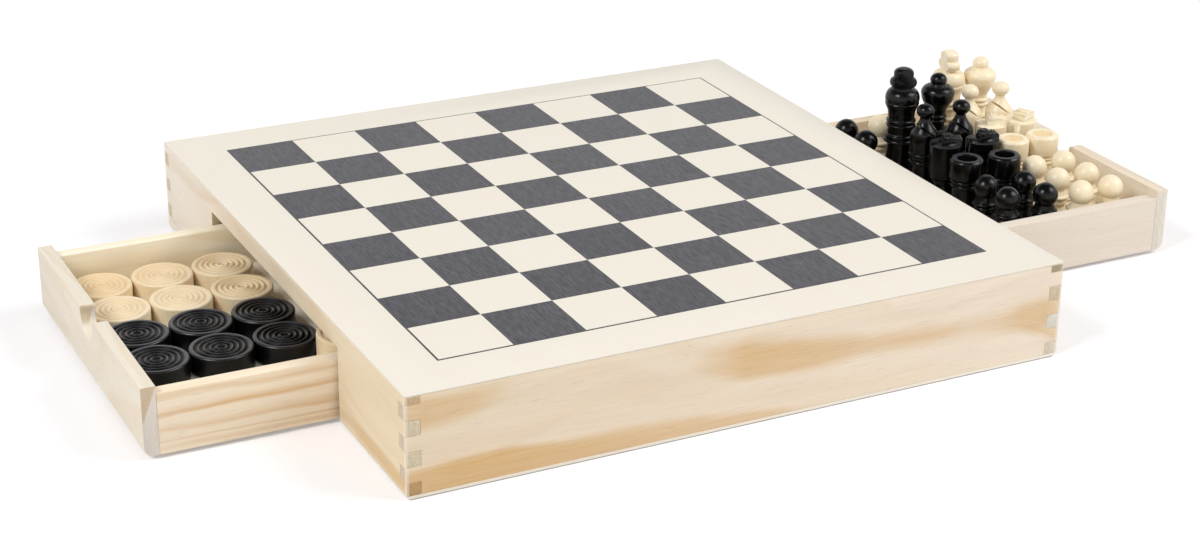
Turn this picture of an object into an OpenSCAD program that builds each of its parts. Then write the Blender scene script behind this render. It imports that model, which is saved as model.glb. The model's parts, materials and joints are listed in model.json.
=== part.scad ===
// Chess box: a board on a low case, with a drawer of draughts on the left
// and a drawer of chess men on the right.
// Millimetres. The origin is the centre of the case's underside. X runs along
// the drawers' travel, Y from the front wall to the back wall, Z up.

/* [Board] */
// Side of one square of the field
square = 30; // [27:0.5:45]
// Plain border from the field to the case's outer edge
margin = 23; // [18:0.5:60]
// Thickness of the playing surface
veneer_t = 0.8; // [0.4:0.1:2]
// Width of the dark line round the field
line_w = 0.7; // [0.3:0.1:3]
// Gap between the inlaid pieces of the playing surface
inlay_gap = 0.04; // [0.02:0.01:0.1]

/* [Case] */
// Height of the closed case
case_h = 42; // [41:0.5:70]
// Thickness of the four walls
wall_t = 6; // [5:0.5:10]
// Thickness of the panel under the walls
base_t = 1.6; // [1:0.1:4]
// Rounding of the case's left and right lower edges
edge_round = 2.6; // [0.5:0.1:3]
// Thickness of the board under the playing surface
board_t = 4; // [3:0.5:6]
// How far that board reaches into the walls
rebate = 3; // [1:0.5:4]
// Height of a full finger in the corner joints
finger_h = 6.2; // [4:0.1:12]
// Height of the top finger, which the playing surface covers
top_finger_h = 3.2; // [2:0.1:6]

/* [Drawer bays] */
// Width of the opening in a side wall
opening_w = 151.5; // [140:0.5:190]
// Height of the opening above the base panel
opening_h = 30.9; // [26:0.1:32]
// Width of the two battens that guide the drawers
guide_w = 10; // [4:1:30]
// Height of the guides and of the centre stop
guide_h = 12; // [6:1:24]
// Width of the batten that both drawers stop against
stop_w = 8; // [4:1:30]

/* [Drawers] */
// Play on each side of a drawer
side_play = 2; // [0.5:0.1:4]
// Running clearance under a drawer
run_gap = 0.1; // [0.1:0.1:0.6]
// Clearance over a drawer's front
top_gap = 2.2; // [0.5:0.1:3]
// Gap between a shut drawer and the centre stop
stop_gap = 0.3; // [0.2:0.1:2]
// Thickness of a drawer's front, sides and back
drawer_t = 6; // [5:0.5:10]
// How far the sides and back stay below the front's top
side_drop = 3.2; // [0:0.1:6]
// Thickness of a drawer's floor
floor_t = 3; // [2:0.5:4]
// Height of the floor's underside above the drawer's lower edge
floor_rise = 4.5; // [3:0.5:6]
// Depth of the groove that holds the floor
groove = 2; // [1:0.5:4]
// Rounding of the front's lower outer edge
front_round = 4; // [1:0.5:4.5]
// Radius of the finger notch in the front
notch_r = 8.7; // [5:0.1:9.5]
// Rounding of the notch's two shoulders
shoulder_r = 1.9; // [1:0.1:4]
// How far the draughts drawer stands open
draughts_out = 76; // [60:1:100]
// How far the men drawer stands open
men_out = 110; // [104:1:120]

/* [Draughts] */
// Diameter of a draught
draught_d = 25.8; // [18:0.1:26]
// Thickness of a draught
draught_h = 9; // [6:0.1:9]
// Gap between neighbouring draughts
draught_gap = 0.4; // [0.2:0.1:1]
// Gap between the draughts and the drawer's front
draught_front_gap = 1; // [0.3:0.1:4]
// Gap between the draughts and the drawer's far side
draught_side_gap = 2.5; // [0.5:0.5:10]
// Gap between the spare draughts and the drawer's back
spare_gap = 4; // [0.5:0.5:8]
// Gap between two draughts that lie on each other
draught_stack_gap = 0.05; // [0.02:0.01:0.5]
// Distance between the ring grooves
ring_pitch = 2.3; // [1.6:0.1:4]
// Depth of the ring grooves
ring_depth = 0.6; // [0.2:0.1:1.2]

/* [Chess men] */
// Height of a king
king_h = 55.5; // [45:0.1:80]
// Height of a queen
queen_h = 51; // [42:0.1:75]
// Height of a bishop
bishop_h = 44; // [35:0.1:65]
// Height of a king from the waist under his crown up
king_crown_h = 24; // [22:0.1:28]
// Height of a queen from the waist under her crown up
queen_crown_h = 19.4; // [18:0.1:23]
// Height of a bishop from the widest point of his mitre up
mitre_h = 15.6; // [14:0.1:18]
// Height of a knight
knight_h = 35.2; // [32:0.1:50]
// Height of a knight's head and mane
knight_head_h = 20; // [17:0.1:22]
// How far a knight's muzzle lies below the top of its mane
muzzle_drop = 4.8; // [4:0.1:8]
// Thickness of a knight's mane
mane_t = 6.4; // [4:0.1:10]
// Height of a rook
rook_h = 29.3; // [26:0.1:45]
// Height of a pawn
pawn_h = 26.5; // [24:0.1:36]
// Least gap between the men and the drawer's far side
men_end_gap = 0.3; // [0.2:0.1:2]
// Gap between the pawns that lie down and the drawer's back
lying_gap = 0.5; // [0.2:0.1:2]
// Gap between those pawns, and from the first of them to the drawer's near side
lying_space = 3; // [2:0.5:5]
// Diameter of a king's base
king_d = 16.2; // [13:0.1:17]
// Diameter of a queen's base
queen_d = 15.8; // [13:0.1:16.5]
// Diameter of the bases of bishops, knights and rooks
officer_d = 15.6; // [13:0.1:16]
// Diameter of a pawn's base
pawn_d = 15.4; // [13:0.1:16]
// Diameter of a pawn's head
pawn_head_d = 11.3; // [8:0.1:12]
// Diameter of the hole in a rook's top
rook_hole_d = 9; // [4:0.1:10]
// Width of the saw cut in a bishop's head
bishop_cut = 0.8; // [0.6:0.1:2.5]

/* [Hidden] */
TURN_FN = 64;         // facets of a turned piece in previews
FIELD = 8;            // squares along one side of the field
REACH = 0.5;          // how far a cutting shape passes the surface it cuts

// Case
field_w = FIELD * square;
case_w = field_w + 2 * margin;
wall_top = case_h - veneer_t;
wall_h = wall_top - base_t;
inner_w = case_w - 2 * wall_t;
board_w = inner_w + 2 * rebate;

// Drawers
drawer_w = opening_w - 2 * side_play;
drawer_l = case_w / 2 - stop_w / 2 - stop_gap;
drawer_z = base_t + run_gap;
front_h = opening_h - run_gap - top_gap;
side_h = front_h - side_drop;
side_l = drawer_l - drawer_t;
bay_w = drawer_w - 2 * drawer_t;
floor_z = drawer_z + floor_rise;
floor_top = floor_z + floor_t;
draughts_x = -case_w / 2 - draughts_out + drawer_t;  // inner face of the draughts drawer's front
men_x = case_w / 2 + men_out - drawer_t;             // inner face of the men drawer's front

// Draughts: columns are counted from the drawer's front, and rows from its far side.
// The spare ones lie as a second layer on the last column and, where the drawer is wide enough,
// in two stacks in a row of their own. Otherwise they cover the last two columns. The columns that
// carry a second layer are pushed towards the drawer's back.
DRAUGHT_COLUMNS = 4;
DRAUGHT_ROWS = 4;
draught_pitch = draught_d + draught_gap;
first_draught_x = draughts_x + draught_front_gap + draught_d / 2;
first_draught_y = bay_w / 2 - draught_side_gap - draught_d / 2;
spare_x = draughts_x + side_l - drawer_t - spare_gap - draught_d / 2;
function draught_column_x(column) = column < FIRST_DOUBLE ? first_draught_x + column * draught_pitch
    : max(first_draught_x + column * draught_pitch,
          spare_x - (DRAUGHT_COLUMNS - 1 - column) * draught_pitch);
HAS_SPARE_ROW = bay_w >= draught_side_gap + (DRAUGHT_ROWS + 1) * draught_pitch;
FIRST_DOUBLE = DRAUGHT_COLUMNS - (HAS_SPARE_ROW ? 1 : 2);
draught_rim = 0.9;    // rounding of a draught's edges
RING_COUNT = floor((draught_d / 2 - draught_rim) / ring_pitch);

// Pawns: the foot's upper rim and the head carry a pawn that lies on its side
PAWN_FOOT = 3.2;      // height of a pawn's foot
FOOT_EASE = 0.7;      // slope on the upper edge of every man's foot
LYING_SEAT = 0.05;    // gap between a lying pawn and the floor
LYING = ["white", "black", "black"];
pawn_rim_z = PAWN_FOOT - FOOT_EASE;
pawn_head_z = pawn_h - pawn_head_d / 2;
pawn_rise = pawn_head_z - pawn_rim_z;
lying_tilt = atan2(pawn_d / 2, pawn_rise) - asin(pawn_head_d / 2 / norm([pawn_d / 2, pawn_rise]));
lying_z = floor_top + LYING_SEAT + pawn_d / 2 * cos(lying_tilt) + pawn_rim_z * sin(lying_tilt);
lying_x = men_x - side_l + drawer_t + lying_gap + pawn_d / 2;
function lying_y(k) = -bay_w / 2 + lying_space + k * (pawn_h + lying_space);

// Chess men. Each column of men stands across the drawer, from the near side to the far side.
// A column is [clear gap to the column before it, men], and a man is
// [colour, kind, clear gap to the man before it].
MEN_COLUMNS = [
    [7.5, [
        ["white", "pawn", 0.3], ["white", "pawn", 2], ["white", "pawn", 2], ["white", "rook", 1.7],
        ["white", "knight", 1.7], ["white", "bishop", 1.7], ["white", "queen", 1.7]]],
    [0.1, [
        ["white", "pawn", 0.3], ["white", "pawn", 2], ["white", "pawn", 2], ["white", "rook", 2.4],
        ["white", "knight", 2.4], ["white", "bishop", 2.4], ["white", "king", 2.4]]],
    [0.1, [
        ["black", "pawn", 5], ["black", "pawn", 0.8], ["black", "rook", 0.4],
        ["black", "knight", 2], ["black", "bishop", 2.4], ["black", "queen", 4]]],
    [2.4, [
        ["black", "pawn", 8], ["black", "pawn", 0.8], ["black", "rook", 0.4],
        ["black", "knight", 1.6], ["black", "bishop", 2], ["black", "king", 3.6],
        ["white", "pawn", 1.6]]],
    [1.8, [
        ["black", "pawn", 96.4], ["black", "pawn", 1.7]]]
];

// How far a king's cross and each knight's muzzle are turned, as [white, black], in degrees
KING_TURNS = [80, -15];
KNIGHT_TURNS = [[24, -26], [-14, -26]];
KING_CROSS_T = 6;     // thickness of a king's cross between its sawn faces

function base_d(kind) = kind == "king" ? king_d : kind == "queen" ? queen_d
    : kind == "pawn" ? pawn_d : officer_d;
function sum(list, n) = n <= 0 ? 0 : list[n - 1] + sum(list, n - 1);
function gaps(men) = [for (m = men) m[2]];
function bases(men) = [for (m = men) base_d(m[1])];
// Men stand closer together where the drawer is too narrow for their gaps
function squeeze(men) = min(1, (bay_w - men_end_gap - sum(bases(men), len(men))) / sum(gaps(men), len(men)));
function man_y(men, k) = -bay_w / 2 + base_d(men[k][1]) / 2
    + sum(gaps(men), k + 1) * squeeze(men) + sum(bases(men), k);
function column_w(c) = max(bases(MEN_COLUMNS[c][1]));
function column_x(c) = men_x - column_w(c) / 2 - sum([for (col = MEN_COLUMNS) col[0]], c + 1)
    - sum([for (j = [0 : len(MEN_COLUMNS) - 1]) column_w(j)], c);

// Every man as [colour, kind, whether he lies, place of his foot]: the standing ones column by
// column, and then the pawns that lie in a row along the drawer's back
SPOTS = concat(
    [for (c = [0 : len(MEN_COLUMNS) - 1]) let (men = MEN_COLUMNS[c][1])
        for (k = [0 : len(men) - 1]) [men[k][0], men[k][1], false, [column_x(c), man_y(men, k), floor_top]]],
    [for (k = [0 : len(LYING) - 1]) [LYING[k], "pawn", true, [lying_x, lying_y(k), lying_z]]]);

// How many men of the same colour and kind come up to and including spot i
function rank(i) = len([for (j = [0 : i]) if (SPOTS[j][0] == SPOTS[i][0] && SPOTS[j][1] == SPOTS[i][1]) j]);
function is_single(kind) = kind == "king" || kind == "queen";
function man_name(i) = is_single(SPOTS[i][1]) ? str(SPOTS[i][0], "_", SPOTS[i][1])
    : str(SPOTS[i][0], "_", SPOTS[i][1], "_", rank(i));

CASE_NODES = [
    "base_panel", "front_wall", "back_wall", "left_wall", "right_wall", "top_board",
    "border_veneer", "border_line", "light_squares", "dark_squares",
    "front_guide", "back_guide", "centre_stop"
];
DRAUGHTS_DRAWER_NODES = [
    "draughts_drawer_front", "draughts_drawer_near_side", "draughts_drawer_far_side",
    "draughts_drawer_back", "draughts_drawer_floor", "light_draughts", "dark_draughts"
];
MEN_DRAWER_NODES = [
    "men_drawer_front", "men_drawer_near_side", "men_drawer_far_side",
    "men_drawer_back", "men_drawer_floor"
];
MEN_NODES = [for (i = [0 : len(SPOTS) - 1]) man_name(i)];

PINE = "#e6cfa3";
SHEET = "#f0e6cf";
CHARCOAL = "#4a4a4e";
PLY = "#d9bf8f";
BLACK = "#1b1b1d";
BEECH = "#e2c48f";

// ---- Case ----

// What the rounding takes off the case's left and right lower edges
module lower_edges() {
    for (s = [-1, 1])
        translate([s * (case_w / 2 - edge_round), case_w / 2 + REACH, edge_round])
            rotate([90, 0, 0])
                linear_extrude(height = case_w + 2 * REACH)
                    difference() {
                        translate([s > 0 ? 0 : -edge_round - REACH, -edge_round - REACH])
                            square(edge_round + REACH);
                        circle(r = edge_round, $fn = 64);
                    }
}

module base_panel() {
    color(SHEET)
        difference() {
            translate([-case_w / 2, -case_w / 2, 0]) cube([case_w, case_w, base_t]);
            lower_edges();
        }
}

// The space of the fingers that the left and right walls own, at all four corners
module side_fingers() {
    for (k = [0 : floor(((wall_h - top_finger_h) / finger_h + 1) / 2)])
        let (high = k == 0 ? wall_top + REACH : wall_top - top_finger_h - (2 * k - 1) * finger_h,
             low = max(base_t - REACH, wall_top - top_finger_h - 2 * k * finger_h))
            translate([-case_w / 2 - REACH, -case_w / 2 - REACH, low])
                cube([case_w + 2 * REACH, case_w + 2 * REACH, high - low]);
}

// The four posts where the walls cross
module corner_posts() {
    for (sx = [-1, 1], sy = [-1, 1])
        translate([sx * (case_w - wall_t) / 2, sy * (case_w - wall_t) / 2, base_t + wall_h / 2])
            cube([wall_t, wall_t, wall_h], center = true);
}

module board_space() {
    translate([-board_w / 2, -board_w / 2, wall_top - board_t])
        cube([board_w, board_w, board_t + REACH]);
}

// Front wall for side = -1, back wall for side = 1
module long_wall(side) {
    color(PINE)
        difference() {
            translate([-case_w / 2, side * (case_w - wall_t) / 2 - wall_t / 2, base_t])
                cube([case_w, wall_t, wall_h]);
            intersection() {
                corner_posts();
                side_fingers();
            }
            board_space();
            lower_edges();
        }
}

// Left wall for side = -1, right wall for side = 1
module drawer_wall(side) {
    color(PINE)
        difference() {
            translate([side * (case_w - wall_t) / 2 - wall_t / 2, -case_w / 2, base_t])
                cube([wall_t, case_w, wall_h]);
            difference() {
                corner_posts();
                side_fingers();
            }
            translate([side * (case_w - wall_t) / 2, 0, base_t + (opening_h - REACH) / 2])
                cube([wall_t + 2 * REACH, opening_w, opening_h + REACH], center = true);
            board_space();
            lower_edges();
        }
}

module front_wall() { long_wall(-1); }
module back_wall() { long_wall(1); }
module left_wall() { drawer_wall(-1); }
module right_wall() { drawer_wall(1); }

module top_board() {
    color(PLY)
        translate([-board_w / 2, -board_w / 2, wall_top - board_t])
            cube([board_w, board_w, board_t]);
}

// A flat square ring of the playing surface
module surface_ring(outer, inner) {
    translate([0, 0, wall_top])
        linear_extrude(height = veneer_t)
            difference() {
                square(outer, center = true);
                square(inner, center = true);
            }
}

module border_veneer() { color(SHEET) surface_ring(case_w, field_w + 2 * line_w); }
module border_line() { color(CHARCOAL) surface_ring(field_w + 2 * line_w - 2 * inlay_gap, field_w); }

// The squares of one colour: parity 0 holds the corner square at the front left
module squares(parity) {
    for (i = [0 : FIELD - 1], j = [0 : FIELD - 1])
        if ((i + j) % 2 == parity)
            translate([(i + 0.5) * square - field_w / 2, (j + 0.5) * square - field_w / 2,
                       wall_top + veneer_t / 2])
                cube([square - inlay_gap, square - inlay_gap, veneer_t], center = true);
}

module light_squares() { color(SHEET) squares(0); }
module dark_squares() { color(CHARCOAL) squares(1); }

// Batten beside the drawers, in front of them for side = -1
module guide(side) {
    color(PINE)
        translate([0, side * (opening_w + guide_w) / 2, base_t + guide_h / 2])
            cube([inner_w, guide_w, guide_h], center = true);
}

module front_guide() { guide(-1); }
module back_guide() { guide(1); }

module centre_stop() {
    color(PINE)
        translate([0, 0, base_t + guide_h / 2])
            cube([stop_w, opening_w, guide_h], center = true);
}

// ---- Drawers ----
// A drawer is drawn opening towards +X with the inner face of its front at x = 0,
// and place_drawer turns it to its side of the case.

module place_drawer(side) {
    translate([side > 0 ? men_x : draughts_x, 0, 0])
        mirror([side > 0 ? 0 : 1, 0, 0])
            children();
}

module floor_panel() {
    translate([-side_l + drawer_t - groove, -bay_w / 2 - groove, floor_z])
        cube([side_l - drawer_t + 2 * groove, bay_w + 2 * groove, floor_t]);
}

// The front's outline from the side, with its lower outer edge rounded
module front_outline() {
    square([drawer_t - front_round, front_h]);
    translate([0, front_round]) square([drawer_t, front_h - front_round]);
    translate([drawer_t - front_round, front_round]) circle(r = front_round, $fn = 64);
}

// The finger notch: a round bottom that meets the top edge in two rounded shoulders
module notch() {
    top = drawer_z + front_h;
    translate([-REACH, 0, top - shoulder_r])
        rotate([0, 90, 0])
            cylinder(r = notch_r, h = drawer_t + 2 * REACH, $fn = 96);
    difference() {
        translate([-REACH, -notch_r - shoulder_r, top - shoulder_r])
            cube([drawer_t + 2 * REACH, 2 * (notch_r + shoulder_r), shoulder_r + REACH]);
        for (s = [-1, 1])
            translate([-2 * REACH, s * (notch_r + shoulder_r), top - shoulder_r])
                rotate([0, 90, 0])
                    cylinder(r = shoulder_r, h = drawer_t + 4 * REACH, $fn = 48);
    }
}

module drawer_front(side) {
    color(PINE)
        place_drawer(side)
            difference() {
                translate([0, drawer_w / 2, drawer_z])
                    rotate([90, 0, 0])
                        linear_extrude(height = drawer_w)
                            intersection() {
                                front_outline();
                                square([drawer_t, front_h]);
                            }
                notch();
                floor_panel();
            }
}

// The near side for end = -1, the far side for end = 1
module drawer_side(side, end) {
    color(PINE)
        place_drawer(side)
            difference() {
                translate([-side_l, end * (bay_w + drawer_t) / 2 - drawer_t / 2, drawer_z])
                    cube([side_l, drawer_t, side_h]);
                floor_panel();
            }
}

module drawer_back(side) {
    color(PINE)
        place_drawer(side)
            difference() {
                translate([-side_l, -bay_w / 2, drawer_z])
                    cube([drawer_t, bay_w, side_h]);
                floor_panel();
            }
}

module drawer_floor(side) { color(PLY) place_drawer(side) floor_panel(); }

module draughts_drawer_front() { drawer_front(-1); }
module draughts_drawer_near_side() { drawer_side(-1, -1); }
module draughts_drawer_far_side() { drawer_side(-1, 1); }
module draughts_drawer_back() { drawer_back(-1); }
module draughts_drawer_floor() { drawer_floor(-1); }
module men_drawer_front() { drawer_front(1); }
module men_drawer_near_side() { drawer_side(1, -1); }
module men_drawer_far_side() { drawer_side(1, 1); }
module men_drawer_back() { drawer_back(1); }
module men_drawer_floor() { drawer_floor(1); }

// ---- Draughts ----

// Half section of a draught: rounded rim, with ring grooves in its top face
module draught_section() {
    r = draught_d / 2;
    half_top = 0.3 * ring_pitch;
    half_bottom = 0.12 * ring_pitch;
    difference() {
        union() {
            square([r - draught_rim, draught_h]);
            translate([0, draught_rim]) square([r, draught_h - 2 * draught_rim]);
            for (z = [draught_rim, draught_h - draught_rim])
                translate([r - draught_rim, z]) circle(r = draught_rim, $fn = 32);
        }
        translate([-r, -REACH]) square([r, draught_h + 2 * REACH]);
        for (k = [1 : RING_COUNT])
            translate([(k - 0.6) * ring_pitch, draught_h])
                polygon([[-half_top, REACH], [-half_top, 0], [-half_bottom, -ring_depth],
                         [half_bottom, -ring_depth], [half_top, 0], [half_top, REACH]]);
    }
}

module draught(x, row, layer) {
    translate([x, first_draught_y - row * draught_pitch,
               floor_top + layer * (draught_h + draught_stack_gap)])
        rotate_extrude($fn = TURN_FN) draught_section();
}

// The draughts of one colour: two rows, and one of the spare stacks, counted from the drawer's back
module draughts(rows, stack) {
    for (column = [0 : DRAUGHT_COLUMNS - 1], row = rows, layer = [0 : column < FIRST_DOUBLE ? 0 : 1])
        draught(draught_column_x(column), row, layer);
    if (HAS_SPARE_ROW)
        for (layer = [0, 1])
            draught(spare_x - stack * draught_pitch, DRAUGHT_ROWS, layer);
}

module light_draughts() { color(BEECH) draughts([0, 1], 1); }
module dark_draughts() { color(BLACK) draughts([2, 3], 0); }

// ---- Chess men ----
// Half sections of turned men are lists of [radius, height] points.

// A round bead from height z0 to z1 that swells by `out` beyond radius r
function bead(r, z0, z1, out, n = 6) =
    [for (i = [0 : n]) let (a = 180 * i / n) [r + out * sin(a), (z0 + z1) / 2 - (z1 - z0) / 2 * cos(a)]];
// A smooth curve from radius r0 at z0 to radius r1 at z1, upright at both ends
function sweep(r0, z0, r1, z1, n = 6) =
    [for (i = [0 : n]) let (t = i / n) [r0 + (r1 - r0) * (1 - cos(180 * t)) / 2, z0 + (z1 - z0) * t]];
// A flare that leaves radius r0 upright at z0 and runs out to r1 at z1
function flare(r0, z0, r1, z1, n = 6) =
    [for (i = [0 : n]) let (a = 90 * i / n) [r0 + (r1 - r0) * (1 - cos(a)), z0 + (z1 - z0) * sin(a)]];
// The part of a ball of radius r centred at z that lies above radius r_neck, up to its pole.
// flat is its height over its width.
function ball(r, z, r_neck, flat = 1, n = 10) = let (a0 = -acos(r_neck / r))
    [for (i = [0 : n]) let (a = a0 + (90 - a0) * i / n) [r * cos(a), z + flat * r * sin(a)]];

module turned(points) {
    rotate_extrude($fn = TURN_FN) polygon(concat([[0, 0]], points));
}

// The foot that every man stands on: a rounded disc of radius r and height h
function foot(r, h) = [[r - 0.5, 0], [r, 0.5], [r, h - FOOT_EASE], [r - FOOT_EASE, h]];

module pawn() {
    r = pawn_d / 2;
    z = pawn_head_z;
    turned(concat(
        foot(r, PAWN_FOOT),
        bead(r - 1.4, 3.6, 5.4, 0.5),
        sweep(r - 2.2, 5.8, 4.1, z - 11.6),
        bead(4.1, z - 11.2, z - 8.6, 0.9),
        bead(4.9, z - 8.2, z - 6.4, 1),
        ball(pawn_head_d / 2, z, 4)));
}

module rook() {
    r = officer_d / 2;
    hole = rook_hole_d / 2;
    turned(concat(
        foot(r, 3.4),
        bead(r - 1.3, 3.8, 5.8, 0.5),
        sweep(r - 1.6, 6.2, r - 1.9, rook_h - 14),
        bead(r - 1.6, rook_h - 13.6, rook_h - 11.9, 0.8),
        bead(r - 1.6, rook_h - 11.5, rook_h - 9.9, 0.9),
        [[r - 1, rook_h - 9.5], [r - 0.2, rook_h - 9], [r - 0.2, rook_h - 0.9], [r - 1, rook_h],
         [hole + 0.3, rook_h], [hole, rook_h - 0.3], [hole, rook_h - 4], [0, rook_h - 4]]));
}

// The knight's turned foot and neck, up to its head
function knight_stem(r, neck) = concat(
    foot(r, 3.4),
    bead(r - 1.3, 3.8, 5.8, 0.6),
    sweep(r - 1.6, 6.2, 4.6, neck - 3),
    bead(4.8, neck - 2.8, neck - 1.2, 0.8),
    [[5, neck - 0.9], [5, neck], [0, neck]]);

// The outline of one lobe of the mane from the side, down into the muzzle
module mane_lobe(x, r, top, muzzle) {
    translate([x, top - r]) circle(r = r, $fn = 48);
    translate([x - r, muzzle - r]) square([2 * r, max(top - muzzle, REACH)]);
}

// Saw marks over a lobe of the mane, at angles from the back
module mane_cuts(x, r, z, angles) {
    for (a = angles)
        translate([x + r * cos(a), 0, z + r * sin(a)])
            rotate([90, 0, 0])
                cylinder(r = 0.4, h = officer_d, center = true, $fn = 12);
}

// The mane from the front: a crest with upright sides and rounded upper corners
module mane_front(half, top, round) {
    translate([-half, 0]) square([2 * half, top - round]);
    translate([round - half, 0]) square([2 * (half - round), top]);
    for (side = [-1, 1])
        translate([side * (half - round), top - round]) circle(r = round, $fn = 48);
}

// Head: a round block whose flat muzzle lies below the narrow crest of a mane of two lobes
module knight() {
    r = officer_d / 2;
    head_r = r - 0.2;
    neck = knight_h - knight_head_h;
    muzzle = knight_h - muzzle_drop;
    muzzle_x = head_r - 0.9;
    front_r = 3.2;
    rear_r = 2.4;
    rear_top = knight_h - 1.4;
    mouth = 5;
    turned(knight_stem(r, neck));
    difference() {
        intersection() {
            translate([0, 0, neck]) cylinder(r = head_r, h = knight_h - neck, $fn = TURN_FN);
            rotate([90, 0, 0])
                linear_extrude(height = 2 * r, center = true) {
                    translate([-muzzle_x, neck]) square([muzzle_x + r, muzzle - neck]);
                    mane_lobe(1.2, front_r, knight_h, muzzle);
                    mane_lobe(5.6, rear_r, rear_top, muzzle);
                }
            union() {
                translate([-r, -r, 0]) cube([2 * r, 2 * r, muzzle]);
                translate([-r, 0, 0])
                    rotate([90, 0, 90])
                        linear_extrude(height = 2 * r) mane_front(mane_t / 2, knight_h, 1.3);
            }
        }
        mane_cuts(1.2, front_r, knight_h - front_r, [62, 96, 130, 164]);
        mane_cuts(5.6, rear_r, rear_top - rear_r, [36, 80]);
        // Mouth: a saw cut down the front of the muzzle
        translate([-head_r - REACH, -0.35, muzzle - mouth])
            cube([3.4, 0.7, mouth + REACH]);
    }
}

module bishop() {
    r = officer_d / 2;
    body_z = bishop_h - mitre_h;
    difference() {
        turned(concat(
            foot(r, 3.4),
            bead(r - 1.3, 3.8, 5.8, 0.6),
            sweep(r - 1.7, 6.2, r - 2.3, body_z - 13.6),
            bead(r - 1.9, body_z - 13.2, body_z - 11.2, 0.9),
            bead(r - 1.9, body_z - 9.6, body_z - 7.6, 0.9),
            sweep(r - 1.8, body_z - 7, r - 1.3, body_z - 0.8),
            sweep(r - 1.4, body_z + 0.6, 2.3, body_z + 8.8),
            ball(4.2, bishop_h - 3.5, 2.4, 0.83)));
        // The slanting saw cut
        translate([0, 0, body_z + 2.2])
            rotate([0, 42, 0])
                translate([-9, -8, -bishop_cut / 2])
                    cube([10.5, 16, bishop_cut]);
    }
}

// The stem that king and queen share, from the foot to just below the crown. Its flange is as wide
// as the foot, and above that it has radius s.
function royal_stem(r, waist, s) = concat(
    foot(r, 3.6),
    bead(r - 1, 4, 6.2, 0.6),
    sweep(r - 1.4, 6.6, s - 0.4, waist - 12.4),
    bead(s + 0.4, waist - 12, waist - 10, r - s - 0.5),
    bead(s + 0.3, waist - 9.6, waist - 8, r - s - 1),
    sweep(s, waist - 7.4, s - 0.2, waist - 4.8),
    bead(s, waist - 4.4, waist - 2.8, 0.7),
    bead(s, waist - 2.2, waist - 0.6, 0.7));

module queen() {
    r = queen_d / 2;
    waist = queen_h - queen_crown_h;
    shoulder = waist + 9.8;
    turned(concat(
        royal_stem(r, waist, 4.3),
        sweep(4.2, waist, r - 0.2, shoulder - 1.2),
        flare(r, shoulder, 4, queen_h - 5.8, 10),
        ball(4, queen_h - 3.2, 3.5, 0.8)));
}

module king() {
    r = king_d / 2;
    waist = king_h - king_crown_h;
    shoulder = waist + 9.4;
    neck = waist + 14;
    cross_h = king_h - neck;
    turned(concat(
        royal_stem(r, waist, r - 1.8),
        sweep(r - 1.9, waist, r - 1.7, waist + 2.2),
        sweep(r - 1.6, waist + 2.8, r - 0.1, shoulder - 2),
        [[r - 0.4, shoulder - 1.6], [r - 0.1, shoulder - 1]],
        flare(r, shoulder, 4.8, neck, 10),
        [[0, neck]]));
    // The cross: a turned knob whose collar makes the arms, sawn flat on two sides
    translate([0, 0, neck])
        intersection() {
            rotate_extrude($fn = TURN_FN)
                polygon(concat([[0, 0], [4.2, 0]], bead(4.2, 0.8, 5.4, 2.2, 10),
                               [[4.4, 5.6], [4.7, 6]], flare(4.7, 7.6, 1.2, cross_h, 8), [[0, cross_h]]));
            translate([0, 0, cross_h / 2])
                cube([2 * KING_CROSS_T + 2, KING_CROSS_T, cross_h + 2 * REACH], center = true);
        }
}

module man(i) {
    kind = SPOTS[i][1];
    tone = SPOTS[i][0] == "white" ? 0 : 1;
    turn = kind == "king" ? KING_TURNS[tone] : kind == "knight" ? KNIGHT_TURNS[tone][rank(i) - 1] : 0;
    color([BEECH, BLACK][tone])
        translate(SPOTS[i][3])
            rotate([SPOTS[i][2] ? -90 - lying_tilt : 0, 0, turn]) {
                if (kind == "pawn") pawn();
                if (kind == "rook") rook();
                if (kind == "knight") knight();
                if (kind == "bishop") bishop();
                if (kind == "queen") queen();
                if (kind == "king") king();
            }
}

// ---- Output ----

base_panel();
front_wall();
back_wall();
left_wall();
right_wall();
top_board();
border_veneer();
border_line();
light_squares();
dark_squares();
front_guide();
back_guide();
centre_stop();
draughts_drawer_front();
draughts_drawer_near_side();
draughts_drawer_far_side();
draughts_drawer_back();
draughts_drawer_floor();
light_draughts();
dark_draughts();
men_drawer_front();
men_drawer_near_side();
men_drawer_far_side();
men_drawer_back();
men_drawer_floor();
for (i = [0 : len(SPOTS) - 1])
    man(i);
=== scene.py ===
"""Chess box with drawers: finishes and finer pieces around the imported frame.

Metres, with the case's underside on z = 0. A size written as n * MM is n millimetres. The patterns
of the materials work in millimetres.
"""

import json
import math

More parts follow.
